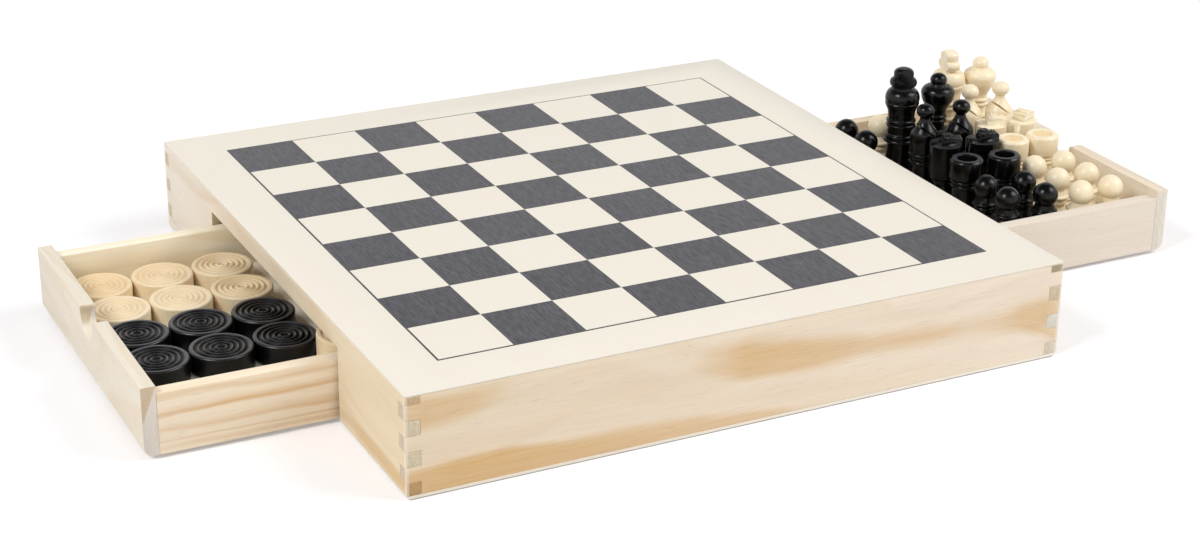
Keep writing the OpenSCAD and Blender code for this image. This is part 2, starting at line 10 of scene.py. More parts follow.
import bmesh
import bpy
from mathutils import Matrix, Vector

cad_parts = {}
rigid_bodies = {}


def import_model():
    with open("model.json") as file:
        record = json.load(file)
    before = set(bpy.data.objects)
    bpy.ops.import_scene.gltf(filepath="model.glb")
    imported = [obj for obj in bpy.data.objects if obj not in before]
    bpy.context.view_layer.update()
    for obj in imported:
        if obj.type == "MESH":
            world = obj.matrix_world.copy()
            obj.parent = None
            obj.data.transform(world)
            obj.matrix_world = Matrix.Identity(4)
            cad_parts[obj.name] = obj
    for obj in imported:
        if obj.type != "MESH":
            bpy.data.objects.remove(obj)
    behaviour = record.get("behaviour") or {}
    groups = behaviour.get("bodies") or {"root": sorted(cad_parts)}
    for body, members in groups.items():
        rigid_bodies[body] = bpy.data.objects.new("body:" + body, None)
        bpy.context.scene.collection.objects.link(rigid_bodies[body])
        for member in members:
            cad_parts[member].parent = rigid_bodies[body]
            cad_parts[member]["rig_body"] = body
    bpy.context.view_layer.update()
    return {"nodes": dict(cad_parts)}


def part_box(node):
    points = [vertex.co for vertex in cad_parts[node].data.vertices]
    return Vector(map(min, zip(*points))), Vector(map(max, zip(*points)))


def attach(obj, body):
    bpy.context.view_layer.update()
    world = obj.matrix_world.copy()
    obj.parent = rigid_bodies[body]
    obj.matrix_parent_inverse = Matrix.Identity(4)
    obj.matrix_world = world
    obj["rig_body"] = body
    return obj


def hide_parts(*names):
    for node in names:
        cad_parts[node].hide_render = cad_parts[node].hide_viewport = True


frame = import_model()

MM = 0.001
PER_MM = 1000.0

# ---- Sizes ----

FIELD_LOW, FIELD_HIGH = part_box("dark_squares")
SQUARE = (FIELD_HIGH.x - FIELD_LOW.x) / 8
# Half the case's width, in millimetres
CASE_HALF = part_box("front_wall")[1].x * PER_MM

# Rounding of the boards' sharp edges, and of the men's
BOARD_EASE = 0.3 * MM
MAN_EASE = 0.15 * MM
# Distance between the ring grooves of a draught, their depth, and the rounding of its edges
RING_PITCH = 2.3 * MM
RING_DEPTH = 0.75 * MM
RIM = 0.9 * MM
# Points of a CAD mesh that lie closer than this are one point
WELD = 0.002 * MM


# ---- Colours and nodes ----

def linear(code):
    """An sRGB hex colour as a linear RGBA colour."""
    def channel(at):
        value = int(code[at:at + 2], 16) / 255
        return value / 12.92 if value <= 0.04045 else ((value + 0.055) / 1.055) ** 2.4
    return (channel(1), channel(3), channel(5), 1.0)


def add(tree, kind, inputs=None, **settings):
    """Adds a node with its settings. Its inputs are values, sockets, or nodes to take the first
    output of."""
    node = tree.nodes.new(kind)
    for name, value in settings.items():
        setattr(node, name, value)
    for key, value in (inputs or {}).items():
        socket = node.inputs[key] if isinstance(key, int) else next(
            s for s in node.inputs if s.enabled and s.name == key)
        if isinstance(value, bpy.types.Node):
            value = next(s for s in value.outputs if s.enabled)
        if isinstance(value, bpy.types.NodeSocket):
            tree.links.new(value, socket)
        else:
            socket.default_value = value
    return node


def new_material(name):
    """An empty material and its node tree."""
    material = bpy.data.materials.new(name)
    material.use_nodes = True
    material.node_tree.nodes.clear()
    return material, material.node_tree


def shade(tree, colour, height, roughness, specular, bump):
    """Ends a material: a surface of that colour, with a height pattern that stands bump high."""
    bumped = add(tree, "ShaderNodeBump", {"Strength": 1.0, "Distance": bump, "Height": height})
    surface = add(tree, "ShaderNodeBsdfPrincipled", {
        "Base Color": colour, "Roughness": roughness, "Specular IOR Level": specular, "Normal": bumped})
    add(tree, "ShaderNodeOutputMaterial", {"Surface": surface})


# ---- Wood ----

# Turns that bring the grain onto the pattern's own X axis, and the grain's direction
GRAIN_TURNS = {"X": (0, 0, 0), "Y": (0, 0, -math.pi / 2), "Z": (0, math.pi / 2, 0)}
GRAIN_AXES = {"X": (1, 0, 0), "Y": (0, 1, 0), "Z": (0, 0, 1)}

# A colour ramp keeps heights as fractions of this many millimetres
HEIGHT_SCALE = 50.0


def along_grain(tree, grain, repeated=False):
    """Coordinates in millimetres, with X along the grain: the object's own, or for repeated pieces
    each piece's local ones, moved to its own place in the wood."""
    if not repeated:
        coordinates = add(tree, "ShaderNodeTexCoord").outputs["Object"]
    else:
        local = add(tree, "ShaderNodeAttribute", attribute_name="local")
        own = add(tree, "ShaderNodeAttribute", attribute_name="own")
        coordinates = add(tree, "ShaderNodeVectorMath", {
            0: own.outputs["Vector"], 1: (0.5, 0.5, 0.5), 2: local.outputs["Vector"]},
            operation="MULTIPLY_ADD")
    return add(tree, "ShaderNodeMapping", {
        "Vector": coordinates, "Scale": (PER_MM,) * 3, "Rotation": GRAIN_TURNS[grain]})


def fibres(tree, place, length, width, detail=3.0, offset=0.0):
    """Noise from 0 to 1 whose grains are that long and wide in millimetres."""
    stretched = add(tree, "ShaderNodeVectorMath", {
        0: place, 1: (1 / length, 1 / width, 1 / width), 2: (offset,) * 3}, operation="MULTIPLY_ADD")
    return add(tree, "ShaderNodeTexNoise", {
        "Vector": stretched, "Scale": 1.0, "Detail": detail, "Roughness": 0.55}, noise_dimensions="3D")


def figure(tree, place, bands):
    """Late wood that a flat-sawn board shows as bands, as a mask from 0 to 1.
    A band is (soft edge below, soft edge above, points), and a point is
    (along, lower edge, upper edge, strength), all in millimetres but the strength."""
    # The wood's waves move the bands up and down by up to 2.5 mm
    warp = fibres(tree, place, 45, 7, detail=2.0, offset=4.7)
    parts = add(tree, "ShaderNodeSeparateXYZ", {"Vector": place})
    height = add(tree, "ShaderNodeMath", {0: warp, 1: 0.5}, operation="SUBTRACT")
    height = add(tree, "ShaderNodeMath", {
        0: height, 1: 5.0, 2: parts.outputs["Z"]}, operation="MULTIPLY_ADD")
    total = None
    for below, above, points in bands:
        start, end = points[0][0], points[-1][0]
        along = add(tree, "ShaderNodeMapRange", {
            "Value": parts.outputs["X"], "From Min": start, "From Max": end})
        ramp = add(tree, "ShaderNodeValToRGB", {"Fac": along})
        stops = ramp.color_ramp.elements
        while len(stops) < len(points):
            stops.new(0.5)
        for stop, (x, low, high, strength) in zip(stops, points):
            stop.position = (x - start) / (end - start)
            stop.color = (low / HEIGHT_SCALE, high / HEIGHT_SCALE, strength, 1)
        edges = add(tree, "ShaderNodeSeparateColor", {"Color": ramp.outputs["Color"]})
        rise = add(tree, "ShaderNodeMath", {
            0: edges.outputs["Red"], 1: -HEIGHT_SCALE, 2: height}, operation="MULTIPLY_ADD")
        fall = add(tree, "ShaderNodeMath", {
            0: edges.outputs["Green"], 1: -HEIGHT_SCALE, 2: height}, operation="MULTIPLY_ADD")
        inside = add(tree, "ShaderNodeMapRange", {
            "Value": rise, "From Min": -below, "From Max": below}, interpolation_type="SMOOTHSTEP")
        under = add(tree, "ShaderNodeMapRange", {
            "Value": fall, "From Min": above, "From Max": -above}, interpolation_type="SMOOTHSTEP")
        band = add(tree, "ShaderNodeMath", {0: inside, 1: under}, operation="MULTIPLY")
        band = add(tree, "ShaderNodeMath", {0: band, 1: edges.outputs["Blue"]}, operation="MULTIPLY")
        # Lines of growth that follow the band's lower edge
        flow = add(tree, "ShaderNodeCombineXYZ", {"X": along, "Y": rise})
        flow = add(tree, "ShaderNodeVectorMath", {0: flow, 1: (2.5, 0.8, 0)}, operation="MULTIPLY")
        lines = add(tree, "ShaderNodeTexNoise", {"Vector": flow, "Scale": 1.0, "Detail": 3.0})
        lines = add(tree, "ShaderNodeMapRange", {
            "Value": lines, "From Min": 0.3, "From Max": 0.7, "To Min": 0.8, "To Max": 1.1})
        band = add(tree, "ShaderNodeMath", {0: band, 1: lines}, operation="MULTIPLY")
        total = band if total is None else add(
            tree, "ShaderNodeMath", {0: total, 1: band}, operation="MAXIMUM")
    return total


def growth_rings(tree, place, pith, offset):
    """1 in the late wood of each ring and 0 in the early wood. pith is (across, up) in millimetres."""
    ring = 5.0
    wander = fibres(tree, place, 120, 30, detail=1.0, offset=offset)
    centred = add(tree, "ShaderNodeVectorMath", {0: place, 1: (0, -pith[0], -pith[1])}, operation="ADD")
    # The trunk wasn't straight: along a board the rings wander by up to 13 mm each way
    centred = add(tree, "ShaderNodeVectorMath", {
        0: wander.outputs["Color"], 1: (0, 26, 26), 2: centred}, operation="MULTIPLY_ADD")
    centred = add(tree, "ShaderNodeVectorMath", {0: centred, 1: (0, 1, 1)}, operation="MULTIPLY")
    radius = add(tree, "ShaderNodeVectorMath", {0: centred}, operation="LENGTH")
    turn = add(tree, "ShaderNodeMath", {0: radius.outputs["Value"], 1: ring}, operation="DIVIDE")
    phase = add(tree, "ShaderNodeMath", {0: turn}, operation="FRACT")
    # The late wood comes on slowly through a ring and ends sharply
    rings = add(tree, "ShaderNodeValToRGB", {"Fac": phase})
    rings.color_ramp.interpolation = "EASE"
    early, late = rings.color_ramp.elements
    early.position, early.color = 0.10, (0, 0, 0, 1)
    late.position, late.color = 0.78, (1, 1, 1, 1)
    rings.color_ramp.elements.new(0.97).color = (0, 0, 0, 1)
    return rings.outputs["Color"]


def sawn_end(tree, place, rings, colours, wedge, marks):
    """The colour of a board's sawn end. colours are (height in mm, colour) from the bottom up, as the
    fingers of a joint come from different depths. wedge is (pattern y, z, pattern y, z, colour):
    above the line between those two points the end has that colour. marks is how dark the saw's
    marks are."""
    parts = add(tree, "ShaderNodeSeparateXYZ", {"Vector": place})
    level = add(tree, "ShaderNodeMath", {0: parts.outputs["Z"], 1: HEIGHT_SCALE}, operation="DIVIDE")
    ramp = add(tree, "ShaderNodeValToRGB", {"Fac": level})
    ramp.color_ramp.interpolation = "CONSTANT"
    stops = ramp.color_ramp.elements
    while len(stops) < len(colours):
        stops.new(0.5)
    for stop, (height, colour) in zip(stops, colours + colours[-1:]):
        stop.position = height / HEIGHT_SCALE
        stop.color = linear(colour)
    end = ramp.outputs["Color"]
    if wedge:
        y0, z0, y1, z1, colour = wedge
        slope = (z1 - z0) / (y1 - y0)
        line = add(tree, "ShaderNodeMath", {
            0: parts.outputs["Y"], 1: -slope, 2: parts.outputs["Z"]}, operation="MULTIPLY_ADD")
        start = z0 - slope * y0
        above = add(tree, "ShaderNodeMapRange", {
            "Value": line, "From Min": start - 0.2, "From Max": start + 0.2})
        end = add(tree, "ShaderNodeMix", {
            "Factor": above, "A": end, "B": linear(colour)}, data_type="RGBA")
    saw = fibres(tree, place, 3.0, 0.8, detail=2.0, offset=1.9)
    saw_tone = add(tree, "ShaderNodeMapRange", {
        "Value": saw, "From Min": 0.35, "From Max": 0.65, "To Min": 1 - marks, "To Max": 1 + marks / 3})
    ring_tone = add(tree, "ShaderNodeMapRange", {"Value": rings, "To Min": 1.0, "To Max": 0.94})
    tone = add(tree, "ShaderNodeMath", {0: saw_tone, 1: ring_tone}, operation="MULTIPLY")
    return add(tree, "ShaderNodeVectorMath", {0: end, 1: tone}, operation="MULTIPLY")


def pine(name, grain, pith, light="#ecdfc6", far_light=None, late="#d8b483", contrast=0.35, bands=(),
         band_colour="#cfa066", ends=((0, "#d8c7ab"),), wedge=None, marks=0.05, shift=0.0):
    """Planed Scots pine under a thin matt varnish: pale early wood and tan late wood in rings about
    a far pith, with short fine resin ducts along the grain and darker sawn ends.
    pith is (across, up) in mm from the origin, in the pattern whose X is along the grain. The early
    wood turns from light to far_light along the case. shift takes the board from another place in
    the wood."""
    material, tree = new_material(name)
    place = along_grain(tree, grain)
    parts = add(tree, "ShaderNodeSeparateXYZ", {"Vector": place})
    rings = growth_rings(tree, place, pith, shift)
    broad = fibres(tree, place, 90, 16, detail=2.0, offset=9.1 + shift)
    amount = add(tree, "ShaderNodeMath", {0: rings, 1: broad}, operation="MULTIPLY")
    amount = add(tree, "ShaderNodeMath", {0: amount, 1: contrast * 2}, operation="MULTIPLY")
    along = add(tree, "ShaderNodeMapRange", {
        "Value": parts.outputs["X"], "From Min": -CASE_HALF, "From Max": CASE_HALF})
    early = add(tree, "ShaderNodeMix", {
        "Factor": along, "A": linear(light), "B": linear(far_light or light)}, data_type="RGBA")
    colour = add(tree, "ShaderNodeMix", {
        "Factor": amount, "A": early, "B": linear(late)}, data_type="RGBA")
    if bands:
        colour = add(tree, "ShaderNodeMix", {
            "Factor": figure(tree, place, bands), "A": colour, "B": linear(band_colour)},
            data_type="RGBA")
    # Fibres 0.45 mm wide and ducts 0.5 mm wide, a little coarser than real ones so that they show
    fine = fibres(tree, place, 26, 0.45, detail=3.0, offset=2.3 + shift)
    fine_tone = add(tree, "ShaderNodeMapRange", {
        "Value": fine, "From Min": 0.3, "From Max": 0.7, "To Min": 0.96, "To Max": 1.03})
    ducts = fibres(tree, place, 7, 0.5, detail=1.0, offset=6.4 + shift)
    duct_tone = add(tree, "ShaderNodeMapRange", {
        "Value": ducts, "From Min": 0.64, "From Max": 0.74, "To Min": 1.0, "To Max": 0.91})
    tone = add(tree, "ShaderNodeMath", {0: fine_tone, 1: duct_tone}, operation="MULTIPLY")
    colour = add(tree, "ShaderNodeVectorMath", {0: colour, 1: tone}, operation="MULTIPLY")
    # Faces across the grain are sawn ends
    geometry = add(tree, "ShaderNodeNewGeometry")
    facing = add(tree, "ShaderNodeVectorMath", {
        0: geometry.outputs["Normal"], 1: GRAIN_AXES[grain]}, operation="DOT_PRODUCT")
    facing = add(tree, "ShaderNodeMath", {0: facing.outputs["Value"]}, operation="ABSOLUTE")
    is_end = add(tree, "ShaderNodeMapRange", {"Value": facing, "From Min": 0.7, "From Max": 0.9})
    end_colour = sawn_end(tree, place, rings, ends, wedge, marks)
    colour = add(tree, "ShaderNodeMix", {
        "Factor": is_end, "A": colour, "B": end_colour}, data_type="RGBA")
    # The last millimetre of the case's upright corners is painted paler: a painted highlight where the
    # eased edge catches the light
    sides = add(tree, "ShaderNodeVectorMath", {0: place}, operation="ABSOLUTE")
    sides = add(tree, "ShaderNodeSeparateXYZ", {"Vector": sides})
    corner = add(tree, "ShaderNodeMath", {
        0: sides.outputs["X"], 1: sides.outputs["Y"]}, operation="MINIMUM")
    corner = add(tree, "ShaderNodeMapRange", {
        "Value": corner, "From Min": CASE_HALF - 1.3, "From Max": CASE_HALF - 0.8, "To Max": 0.55})
    colour = add(tree, "ShaderNodeMix", {
        "Factor": corner, "A": colour, "B": linear("#f7ecdb")}, data_type="RGBA")
    shade(tree, colour, fine, roughness=0.6, specular=0.3, bump=0.03 * MM)
    return material


def pale_veneer(name):
    """Sliced birch veneer under matt varnish: almost white, with faint long streaks along Y."""
    material, tree = new_material(name)
    place = along_grain(tree, "Y")
    broad = fibres(tree, place, 160, 14, detail=2.0)
    fine = fibres(tree, place, 30, 0.5, detail=2.0, offset=3.1)
    colour = add(tree, "ShaderNodeMix", {
        "Factor": broad, "A": linear("#efe7d8"), "B": linear("#eee8dc")}, data_type="RGBA")
    tone = add(tree, "ShaderNodeMapRange", {
        "Value": fine, "From Min": 0.3, "From Max": 0.7, "To Min": 0.985, "To Max": 1.01})
    colour = add(tree, "ShaderNodeVectorMath", {0: colour, 1: tone}, operation="MULTIPLY")
    shade(tree, colour, fine, roughness=0.5, specular=0.3, bump=0.01 * MM)
    return material


def grey_veneer(name):
    """Dyed grey veneer under satin varnish: charcoal with short lighter streaks along Y, each square
    cut from its own place on the sheet. The streaks are drawn about twice as wide as real ones, so
    that they show."""
    material, tree = new_material(name)
    place = along_grain(tree, "Y")
    # The number of the square that a point is in gives that square its own tone and pattern
    cell = add(tree, "ShaderNodeVectorMath", {
        0: place, 1: (SQUARE * PER_MM,) * 3}, operation="DIVIDE")
    cell = add(tree, "ShaderNodeVectorMath", {0: cell}, operation="FLOOR")
    own = add(tree, "ShaderNodeTexWhiteNoise", {"Vector": cell}, noise_dimensions="3D")
    place = add(tree, "ShaderNodeVectorMath", {
        0: own.outputs["Color"], 1: (90, 90, 0), 2: place}, operation="MULTIPLY_ADD")
    broad = fibres(tree, place, 34, 2.2, detail=2.0)
    fine = fibres(tree, place, 5.5, 0.7, detail=3.0, offset=3.1)
    colour = add(tree, "ShaderNodeMix", {
        "Factor": own.outputs["Value"], "A": linear("#393840"), "B": linear("#424147")},
        data_type="RGBA")
    broad_tone = add(tree, "ShaderNodeMapRange", {
        "Value": broad, "From Min": 0.3, "From Max": 0.7, "To Min": 0.72, "To Max": 1.24})
    fine_tone = add(tree, "ShaderNodeMapRange", {
        "Value": fine, "From Min": 0.38, "From Max": 0.62, "To Min": 0.45, "To Max": 1.55})
    tone = add(tree, "ShaderNodeMath", {0: broad_tone, 1: fine_tone}, operation="MULTIPLY")
    colour = add(tree, "ShaderNodeVectorMath", {0: colour, 1: tone}, operation="MULTIPLY")
    shade(tree, colour, fine, roughness=0.36, specular=0.6, bump=0.02 * MM)
    return material


def thin_sheet(name):
    """Poplar plywood sheet: nearly white, with faint grain along X. Its lowest half millimetre, at the
    foot of the case, is painted grey as a painted contact shadow under the case."""
    material, tree = new_material(name)
    place = along_grain(tree, "X")
    broad = fibres(tree, place, 70, 8, detail=3.0)
    colour = add(tree, "ShaderNodeMix", {
        "Factor": broad, "A": linear("#fbf6ec"), "B": linear("#f3ead8")}, data_type="RGBA")
    height = add(tree, "ShaderNodeSeparateXYZ", {"Vector": place})
    # Painted shadow: the lowest half millimetre is mixed towards grey, a painted contact shadow where the
    # case stands on the floor
    lowest = add(tree, "ShaderNodeMapRange", {
        "Value": height.outputs["Z"], "From Min": 0.55, "From Max": 0.4, "To Max": 0.85})
    colour = add(tree, "ShaderNodeMix", {
        "Factor": lowest, "A": colour, "B": linear("#8e887e")}, data_type="RGBA")
    shade(tree, colour, broad, roughness=0.6, specular=0.3, bump=0.02 * MM)
    return material


def natural_beech(name, grain, light="#fff4da", dark="#f7e2b8", repeated=False):
    """Turned beech under clear lacquer: warm cream with fine flecks along the grain. Repeated pieces
    differ in tone, and the bottoms of their grooves are painted browner as painted shade."""
    material, tree = new_material(name)
    place = along_grain(tree, grain, repeated=repeated)
    broad = fibres(tree, place, 30, 5, detail=3.0)
    flecks = fibres(tree, place, 2.2, 0.35, detail=2.0, offset=5.5)
    colour = add(tree, "ShaderNodeMix", {
        "Factor": broad, "A": linear(light), "B": linear(dark)}, data_type="RGBA")
    tone = add(tree, "ShaderNodeMapRange", {
        "Value": flecks, "From Min": 0.35, "From Max": 0.7, "To Min": 1.02, "To Max": 0.94})
    colour = add(tree, "ShaderNodeVectorMath", {0: colour, 1: tone}, operation="MULTIPLY")
    if repeated:
        own = add(tree, "ShaderNodeAttribute", attribute_name="own")
        own = add(tree, "ShaderNodeSeparateXYZ", {"Vector": own.outputs["Vector"]})
        # From no change to a slightly browner stick of beech
        warm = add(tree, "ShaderNodeMix", {
            "Factor": own.outputs["X"], "A": (1.0, 1.0, 1.0, 1), "B": (0.97, 0.92, 0.84, 1)},
            data_type="RGBA")
        colour = add(tree, "ShaderNodeVectorMath", {0: colour, 1: warm}, operation="MULTIPLY")
        # Painted shade: the grooves' bottoms are mixed towards brown, for the shade that falls in them
        groove = add(tree, "ShaderNodeAttribute", attribute_name="groove")
        groove_shade = add(tree, "ShaderNodeMath", {0: groove.outputs["Fac"], 1: 0.35}, operation="MULTIPLY")
        colour = add(tree, "ShaderNodeMix", {
            "Factor": groove_shade, "A": colour, "B": linear("#c79a5f")}, data_type="RGBA")
    shade(tree, colour, flecks, roughness=0.3, specular=0.5, bump=0.02 * MM)
    return material


def black_lacquer(name, base="#040404", top="#2e2e31", roughness=0.2, repeated=False):
    """Sprayed black lacquer over turned beech: glossy, with a faint orange-peel. Faces that look
    straight up are duller and painted a lighter grey, a painted sheen for the light they catch from
    above. The grooves of repeated pieces are dull."""
    material, tree = new_material(name)
    place = along_grain(tree, "Z", repeated=repeated)
    peel = fibres(tree, place, 1.6, 1.2, detail=1.0)
    cloud = fibres(tree, place, 9, 6, detail=2.0, offset=8.2)
    colour = add(tree, "ShaderNodeMix", {
        "Factor": cloud, "A": linear(base), "B": linear("#090909")}, data_type="RGBA")
    gloss = add(tree, "ShaderNodeMapRange", {
        "Value": cloud, "From Min": 0.3, "From Max": 0.7, "To Min": roughness, "To Max": roughness + 0.06})
    geometry = add(tree, "ShaderNodeNewGeometry")
    up = add(tree, "ShaderNodeSeparateXYZ", {"Vector": geometry.outputs["Normal"]})
    # Painted sheen: faces that look straight up are painted the lighter grey top, for the light they catch
    # from above
    painted_top_sheen = add(tree, "ShaderNodeMapRange", {
        "Value": up.outputs["Z"], "From Min": 0.93, "From Max": 0.99})
    specular = 0.32
    if repeated:
        groove = add(tree, "ShaderNodeAttribute", attribute_name="groove")
        ridge = add(tree, "ShaderNodeMapRange", {
            "Value": groove.outputs["Fac"], "From Min": 0.6, "From Max": 0.1})
        painted_top_sheen = add(tree, "ShaderNodeMath", {0: painted_top_sheen, 1: ridge}, operation="MULTIPLY")
        shiny = add(tree, "ShaderNodeMath", {0: up.outputs["Z"], 1: ridge}, operation="MULTIPLY")
        specular = add(tree, "ShaderNodeMapRange", {"Value": shiny, "To Min": 0.2, "To Max": 1.0})
    colour = add(tree, "ShaderNodeMix", {
        "Factor": painted_top_sheen, "A": colour, "B": linear(top)}, data_type="RGBA")
    gloss = add(tree, "ShaderNodeMix", {"Factor": painted_top_sheen, "A": gloss, "B": 0.42}, data_type="FLOAT")
    shade(tree, colour, peel, gloss, specular, bump=0.02 * MM)
    return material


# ---- Meshes ----

def in_scene(name, data):
    """A new object in the scene."""
    thing = bpy.data.objects.new(name, data)
    bpy.context.scene.collection.objects.link(thing)
    return thing


def keep(name, mesh, material, node):
    """Makes a finished mesh a piece that stands for a CAD node and rides on that node's body."""
    mesh.materials.clear()
    mesh.materials.append(material)
    piece = in_scene(name, mesh)
    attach(piece, frame["nodes"][node]["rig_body"])
    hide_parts(node)


def applied(holder, name):
    """The mesh that an object's modifiers make. The object itself is removed."""
    graph = bpy.context.evaluated_depsgraph_get()
    mesh = bpy.data.meshes.new_from_object(holder.evaluated_get(graph))
    mesh.name = name
    bpy.data.objects.remove(holder)
    return mesh


def merged(node):
    """A copy of a CAD node's loose triangles, joined at their corners."""
    shape = bmesh.new()
    shape.from_mesh(frame["nodes"][node].data)
    bmesh.ops.remove_doubles(shape, verts=shape.verts, dist=WELD)
    return shape


def smooth_mesh(shape, name):
    """A mesh with smooth faces from a shape, which is used up."""
    for face in shape.faces:
        face.smooth = True
    mesh = bpy.data.meshes.new(name)
    shape.to_mesh(mesh)
    shape.free()
    return mesh


def eased(node, width):
    """A CAD node's mesh with its sharp edges eased by that width."""
    shape = merged(node)
    bmesh.ops.dissolve_limit(
        shape, angle_limit=math.radians(0.5), verts=shape.verts, edges=shape.edges)
    holder = in_scene(node + "_blank", smooth_mesh(shape, node + "_blank"))
    bevel = holder.modifiers.new("ease", "BEVEL")
    bevel.width = width
    bevel.segments = 2
    bevel.limit_method = "ANGLE"
    bevel.angle_limit = math.radians(35)
    bevel.harden_normals = True
    return applied(holder, node + "_eased")


def carved(node):
    """A CAD node's mesh with crisp cuts: smooth but for its sharp edges."""
    mesh = smooth_mesh(merged(node), node + "_carved")
    mesh.set_sharp_from_angle(angle=math.radians(32))
    return mesh


def solid_boxes(node):
    """The lowest and highest corner of each separate solid in a CAD node, in order along X."""
    shape = merged(node)
    boxes = []
    left = set(shape.verts)
    while left:
        island = [left.pop()]
        for vert in island:
            for edge in vert.link_edges:
                other = edge.other_vert(vert)
                if other in left:
                    left.remove(other)
                    island.append(other)
        boxes.append([[end(vert.co[axis] for vert in island) for axis in range(3)]
                      for end in (min, max)])
    shape.free()
    return sorted(boxes)


def draught_profile(radius, height):
    """Half a draught's outline from the middle of its top to the middle of its foot, as points
    (radius, height, depth in a groove from 0 to 1)."""
    steps = 8
    profile = []
    for k in range(math.floor((radius - RIM) / RING_PITCH) * steps + 1):
        # The grooves lie at 0.4 of a pitch, and the ridges half a pitch further out
        wave = 0.5 + 0.5 * math.cos(2 * math.pi * (k / steps - 0.4))
        profile.append((k * RING_PITCH / steps, height - RING_DEPTH * wave ** 0.8, wave))
    for k in range(7):
        angle = math.pi / 2 * k / 6
        profile.append((radius - RIM + RIM * math.sin(angle), height - RIM + RIM * math.cos(angle), 0))
    for k in range(5):
        angle = math.pi / 2 * k / 4
        profile.append((radius - RIM + RIM * math.cos(angle), RIM - RIM * math.sin(angle), 0))
    profile.append((0, 0, 0))
    return profile


def draught_blank(name, radius, height):
    """One draught, turned about Z from its foot at the origin: ring grooves with rounded ridges
    between them, and a rounded rim. It carries local places and the depth in the grooves."""
    turns = 72
    shape = bmesh.new()
    local = shape.verts.layers.float_vector.new("local")
    groove = shape.verts.layers.float.new("groove")
    rings = []
    for r, z, depth in draught_profile(radius, height):
        ring = []
        for k in range(turns if r > 0 else 1):
            angle = 2 * math.pi * k / turns
            vert = shape.verts.new((r * math.cos(angle), r * math.sin(angle), z))
            vert[local] = vert.co
            vert[groove] = depth
            ring.append(vert)
        rings.append(ring)
    for high, low in zip(rings, rings[1:]):
        for k in range(turns):
            after = (k + 1) % turns
            corners = [high[k % len(high)], low[k % len(low)],
                       low[after % len(low)], high[after % len(high)]]
            # At a pole two of the four corners are the same point
            shape.faces.new(list(dict.fromkeys(corners)))
    bmesh.ops.recalc_face_normals(shape, faces=shape.faces)
    return bpy.data.objects.new(name, smooth_mesh(shape, name))


def draught_set_group():
    """Geometry nodes that stand a copy of a blank on every point, each turned by chance and marked
    with a chance vector of its own, and give them all one material."""
    group = bpy.data.node_groups.new("draught_set", "GeometryNodeTree")
    for name, kind in (("Geometry", "NodeSocketGeometry"), ("Blank", "NodeSocketObject"),
                       ("Finish", "NodeSocketMaterial"), ("Seed", "NodeSocketInt")):
        group.interface.new_socket(name, in_out="INPUT", socket_type=kind)
    group.interface.new_socket("Geometry", in_out="OUTPUT", socket_type="NodeSocketGeometry")
    given = group.nodes.new("NodeGroupInput")
    points = add(group, "GeometryNodeMeshToPoints", {"Mesh": given.outputs["Geometry"]})
    blank = add(group, "GeometryNodeObjectInfo", {"Object": given.outputs["Blank"]})
    turn = add(group, "FunctionNodeRandomValue", {
        "Min": (0, 0, 0), "Max": (0, 0, 2 * math.pi), "Seed": given.outputs["Seed"]},
        data_type="FLOAT_VECTOR")
    turn = add(group, "FunctionNodeEulerToRotation", {"Euler": turn})
    copies = add(group, "GeometryNodeInstanceOnPoints", {
        "Points": points, "Instance": blank.outputs["Geometry"], "Rotation": turn})
    seed = add(group, "ShaderNodeMath", {0: given.outputs["Seed"], 1: 1}, operation="ADD")
    own = add(group, "FunctionNodeRandomValue", {"Seed": seed}, data_type="FLOAT_VECTOR")
    marked = add(group, "GeometryNodeStoreNamedAttribute", {
        "Geometry": copies, "Name": "own", "Value": own}, data_type="FLOAT_VECTOR", domain="INSTANCE")
    real = add(group, "GeometryNodeRealizeInstances", {"Geometry": marked})
    painted = add(group, "GeometryNodeSetMaterial", {
        "Geometry": real, "Material": given.outputs["Finish"]})
    add(group, "NodeGroupOutput", {"Geometry": painted})
    return group


def draught_set(node, group, blank, material, seed):
    """All the draughts of a CAD node as one piece, each on the foot of its solid."""
    feet = sorted(((low[0] + high[0]) / 2, (low[1] + high[1]) / 2, low[2])
                  for low, high in solid_boxes(node))
    mesh = bpy.data.meshes.new(node + "_points")
    mesh.from_pydata(feet, [], [])
    holder = in_scene(node + "_points", mesh)
    modifier = holder.modifiers.new("draughts", "NODES")
    modifier.node_group = group
    values = {"Blank": blank, "Finish": material, "Seed": seed}
    for item in group.interface.items_tree:
        if item.in_out == "INPUT" and item.name in values:
            modifier[item.identifier] = values[item.name]
    keep(node + "_turned", applied(holder, node + "_turned"), material, node)


# ---- Materials ----

# Late wood on the front wall, in mm from the case's centre: top left, along the foot, and the long
# flame that narrows to the right and widens again at the corner
FRONT_BANDS = [
    (3.0, 2.5, [(-143, 28.0, 41, 0.35), (-136, 28.4, 40, 0.5), (-116, 30, 40, 0.45),
                (-96, 35, 39.5, 0)]),
    (1.6, 2.0, [(-143, -9, 11.6, 0.6), (-122, -9, 12.6, 0.7), (-101, -9, 12.6, 0.68),
                (-80, -9, 10.6, 0.62), (-56, -9, 10, 0.55), (-38, -9, 9.2, 0.5), (-28, -9, 8, 0.5),
                (0, -9, 6, 0.48), (15, -9, 4.4, 0.4), (34, -9, 1, 0)]),
    (3.0, 3.5, [(-30, 29, 32, 0), (-18, 24, 35, 0.3), (-4, 20.5, 36, 0.6), (20, 18.6, 33, 0.58),
                (39, 18.6, 30, 0.5), (50, 19, 27.5, 0.44), (83, 18.5, 25.5, 0.46),
                (98, 18.5, 24.5, 0.24), (112, 17, 25, 0.32), (124, 15, 26.5, 0.55),
                (135, 11.5, 27.5, 0.55), (143, 6, 28, 0.4)]),
]
# Late wood low on the left wall, beside its near corner
LEFT_BANDS = [
    (1.5, 1.5, [(-143, 3.5, 9, 0.5), (-100, 4, 9.5, 0.45), (-70, 4, 8, 0.2), (143, 4, 6, 0.1)]),
]
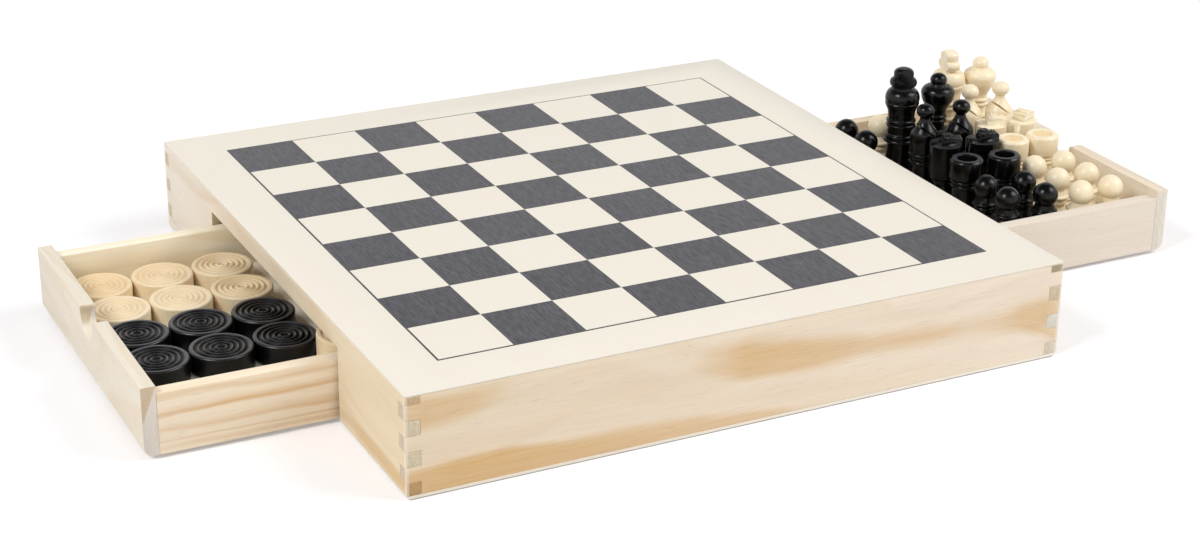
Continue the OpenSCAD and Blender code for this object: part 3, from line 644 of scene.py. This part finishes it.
# Stripes on the near side of the draughts drawer
STRIPES = [
    (0.9, 2.0, [(-213, 23.8, 25.6, 0.45), (-143, 23.4, 25.4, 0.5), (-86, 23.6, 25.4, 0.5)]),
    (0.7, 2.2, [(-213, 16.8, 18.8, 0.62), (-180, 17.0, 19.2, 0.8), (-143, 16.8, 19.2, 0.6),
                (-86, 18, 19, 0.6)]),
    (0.8, 2.4, [(-213, 10.4, 12.4, 0.4), (-143, 9.4, 12.4, 0.5), (-86, 10, 12, 0.5)]),
    (0.3, 0.7, [(-213, 6.0, 6.6, 0.4), (-143, 5.4, 6.2, 0.5), (-86, 5.6, 6.2, 0.5)]),
    (0.6, 1.0, [(-213, 3.2, 4.4, 0.25), (-143, 3.0, 4.6, 0.4), (-86, 3.2, 4.6, 0.4)]),
]

sheet = thin_sheet("poplar_sheet")
light_veneer = pale_veneer("pale_birch_veneer")
dark_veneer = grey_veneer("grey_dyed_veneer")
beech = natural_beech("turned_beech", "Z")
lacquer = black_lacquer("black_lacquer")

# The boards, and how each one was cut
BOARDS = {
    "front_wall": pine(
        "pine_front_wall", "X", (-60, 30), light="#f1dfc4", far_light="#f4e5d1", contrast=0.10,
        bands=FRONT_BANDS, band_colour="#d7a755", ends=((0, "#d8c4ab"),), marks=0.1),
    "back_wall": pine("pine_back_wall", "X", (70, 70), contrast=0.3, shift=0.9, marks=0.1),
    "left_wall": pine(
        "pine_left_wall", "Y", (60, 60), light="#ecdab9", far_light="#f4e9da", contrast=0.16,
        bands=LEFT_BANDS, band_colour="#d0a256", shift=0.4, marks=0.12,
        ends=((0, "#bf9a6b"), (8.2, "#dccdb0"), (22, "#dccdb0"), (34, "#cdb28a"))),
    "right_wall": pine(
        "pine_right_wall", "Y", (-60, 70), contrast=0.3, shift=1.4, marks=0.1,
        ends=((0, "#e2d6c2"), (8.2, "#e8e2d4"), (22, "#ddcaab"), (34, "#b3a289"))),
    "draughts_drawer_front": pine(
        "pine_draughts_front", "Y", (50, 60), light="#ede3d2", late="#e2caa8", contrast=0.3,
        shift=2.0, ends=((0, "#e0d7cc"),), wedge=(213, 30.3, 219, 14.9, "#d3bfa1")),
    "draughts_drawer_near_side": pine(
        "pine_draughts_near", "X", (90, 60), light="#faead0", contrast=0.08,
        bands=STRIPES, band_colour="#d8a660", shift=2.6),
    # Painted light: this side's wood is painted paler than the other boards' pine, to lift its inner face,
    # which lies in shade
    "draughts_drawer_far_side": pine(
        "pine_draughts_far", "X", (-70, 60), light="#fff6e0", late="#f6e0b6", shift=3.1),
    "draughts_drawer_back": pine("pine_draughts_back", "Y", (60, 70), shift=3.7),
    "men_drawer_front": pine(
        "pine_men_front", "Y", (60, -50), light="#ecdfca", late="#d2b184", contrast=0.25,
        shift=4.2, ends=((0, "#ece3d6"),)),
    "men_drawer_near_side": pine(
        "pine_men_near", "X", (120, 90), light="#ebdfd0", late="#dfcbb2", contrast=0.12, shift=4.8),
    "men_drawer_far_side": pine(
        "pine_men_far", "X", (-80, 60), light="#ecdcc2", late="#cfae80", shift=5.3),
    "men_drawer_back": pine("pine_men_back", "Y", (70, 60), shift=5.9),
    "border_veneer": light_veneer,
    "base_panel": sheet,
}

# Parts that keep their plain CAD shape
PLAIN_PARTS = {
    "top_board": sheet,
    "border_line": dark_veneer,
    "light_squares": light_veneer,
    "dark_squares": dark_veneer,
    "front_guide": BOARDS["back_wall"],
    "back_guide": BOARDS["back_wall"],
    "centre_stop": BOARDS["right_wall"],
    "draughts_drawer_floor": sheet,
    "men_drawer_floor": sheet,
}

# ---- Pieces ----

for node, material in BOARDS.items():
    keep(node + "_eased", eased(node, BOARD_EASE), material, node)

for node, material in PLAIN_PARTS.items():
    data = frame["nodes"][node].data
    data.materials.clear()
    data.materials.append(material)

for node in frame["nodes"]:
    if node.startswith(("white_", "black_")):
        mesh = carved(node) if "knight" in node else eased(node, MAN_EASE)
        keep(node + "_turned", mesh, beech if node.startswith("white_") else lacquer, node)

draught_low, draught_high = solid_boxes("light_draughts")[0]
draught_width, _, draught_height = [high - low for low, high in zip(draught_low, draught_high)]
blank = draught_blank("draught_blank", draught_width / 2, draught_height)
set_group = draught_set_group()
light_finish = natural_beech("beech_draughts", "Y", "#fbeed3", "#f0d9b0", repeated=True)
# 48484d is a painted sheen on the flat tops of the draughts' ridges
dark_finish = black_lacquer("black_draught_paint", "#080809", "#48484d", 0.28, repeated=True)
draught_set("light_draughts", set_group, blank, light_finish, seed=4)
draught_set("dark_draughts", set_group, blank, dark_finish, seed=9)
bpy.data.objects.remove(blank)

# ---- Floor, lights and camera ----

WHITE = (1.0, 1.0, 1.0, 1.0)
FLOOR_HALF = 3.0
LAMP_DISTANCE = 2.6
CAMERA_PLACE = (-0.42046, -0.84499, 0.41545)
CAMERA_TURN = (66.4928, -0.5950, -26.5234)  # degrees
CAMERA_LENS = 71.34  # mm, on a sensor 36 mm wide


def background_rays(tree):
    """1 for rays that should see the white background: camera, mirror and transmission rays."""
    path = add(tree, "ShaderNodeLightPath")
    seen = add(tree, "ShaderNodeMath", {
        0: path.outputs["Is Camera Ray"], 1: path.outputs["Is Glossy Ray"]}, operation="MAXIMUM")
    return add(tree, "ShaderNodeMath", {
        0: seen, 1: path.outputs["Is Transmission Ray"]}, operation="MAXIMUM")


def paper_floor():
    """White paper sweep that keeps the object's soft shadow."""
    material, tree = new_material("white_paper")
    glow = add(tree, "ShaderNodeEmission", {"Color": WHITE, "Strength": 0.2})
    paper = add(tree, "ShaderNodeBsdfDiffuse", {"Color": linear("#edecee")})
    lit = add(tree, "ShaderNodeAddShader", {0: glow, 1: paper})
    surface = add(tree, "ShaderNodeMixShader", {0: background_rays(tree), 1: paper, 2: lit})
    add(tree, "ShaderNodeOutputMaterial", {"Surface": surface})
    mesh = bpy.data.meshes.new("paper_floor")
    corners = [(x * FLOOR_HALF, y * FLOOR_HALF, 0) for x, y in ((-1, -1), (1, -1), (1, 1), (-1, 1))]
    mesh.from_pydata(corners, [], [(0, 1, 2, 3)])
    mesh.materials.append(material)
    in_scene("paper_floor", mesh)


def studio_world():
    """A white backdrop below a dimmer ceiling, as the camera and reflections see it, and a softer
    even light on the object."""
    world = bpy.data.worlds.new("studio")
    world.use_nodes = True
    tree = world.node_tree
    tree.nodes.clear()
    # In a world, object coordinates are the direction that is looked in
    direction = add(tree, "ShaderNodeTexCoord").outputs["Object"]
    direction = add(tree, "ShaderNodeSeparateXYZ", {"Vector": direction})
    seen = add(tree, "ShaderNodeMapRange", {
        "Value": direction.outputs["Z"], "From Min": 0.32, "From Max": 0.7,
        "To Min": 1.0, "To Max": 0.12})
    strength = add(tree, "ShaderNodeMix", {
        "Factor": background_rays(tree), "A": 0.5, "B": seen}, data_type="FLOAT")
    light = add(tree, "ShaderNodeBackground", {"Color": WHITE, "Strength": strength})
    add(tree, "ShaderNodeOutputWorld", {"Surface": light})
    bpy.context.scene.world = world


def softbox(name, direction, side, power):
    """A square softbox in that direction from the object, facing it."""
    light = bpy.data.lights.new(name, "AREA")
    light.shape = "SQUARE"
    light.size = side
    light.energy = power
    lamp = in_scene(name, light)
    towards = Vector(direction).normalized()
    lamp.location = towards * LAMP_DISTANCE
    lamp.rotation_euler = towards.to_track_quat("Z", "Y").to_euler()


paper_floor()
studio_world()
softbox("left_softbox", (-0.674, -0.176, 0.717), side=0.9, power=28)
softbox("right_softbox", (0.623, -0.371, 0.685), side=1.4, power=29)

camera = in_scene("camera", bpy.data.cameras.new("camera"))
camera.location = CAMERA_PLACE
camera.rotation_euler = [math.radians(angle) for angle in CAMERA_TURN]
camera.data.sensor_width = 36.0
camera.data.lens = CAMERA_LENS
bpy.context.scene.camera = camera
bpy.context.scene.view_settings.view_transform = "Standard"
